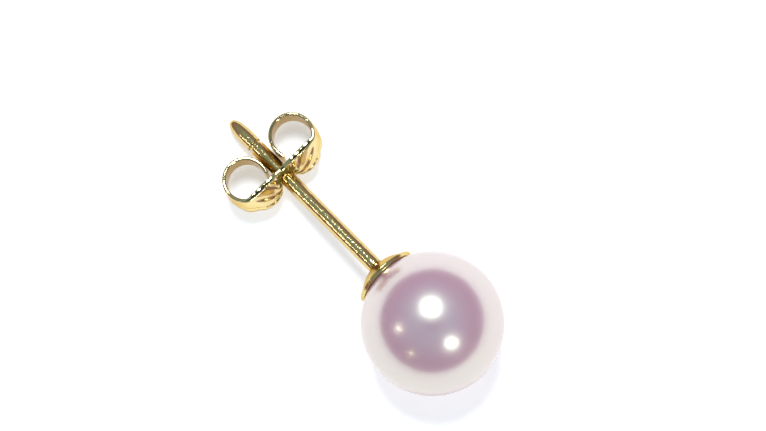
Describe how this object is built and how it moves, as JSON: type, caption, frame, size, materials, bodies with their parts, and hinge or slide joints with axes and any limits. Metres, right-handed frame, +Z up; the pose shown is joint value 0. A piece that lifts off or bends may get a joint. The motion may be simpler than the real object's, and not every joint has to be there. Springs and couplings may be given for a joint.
{
  "type": "pearl stud earring",
  "caption": "Stud earring with a round pearl in a shallow gold cup, a straight grooved post and a butterfly clutch that slides along it, lying on its pearl and clutch.",
  "frame": {"origin": "centre of the underside of the earring's box, on the surface it lies on", "axes": "+Z up, +X along the earring from the post's tip to the pearl, +Y across it"},
  "size_m": [0.019, 0.0074, 0.0075],
  "materials": {
    "nacre": "polished nacre, pinkish white, with a soft metallic lustre",
    "post_gold": "polished yellow gold with fine lengthwise scratches",
    "clutch_gold": "bright stamped yellow gold sheet"
  },
  "bodies": {
    "stud": {"pearl": "nacre", "cup_and_post": "post_gold"},
    "clutch": {"clutch": "clutch_gold"}
  },
  "joints": [
    {"name": "clutch_slide", "type": "slide", "parent": "stud", "child": "clutch", "axis": [-0.9799, 0, -0.1996], "range_m": [-0.0065, 0.0044]}
  ]
}
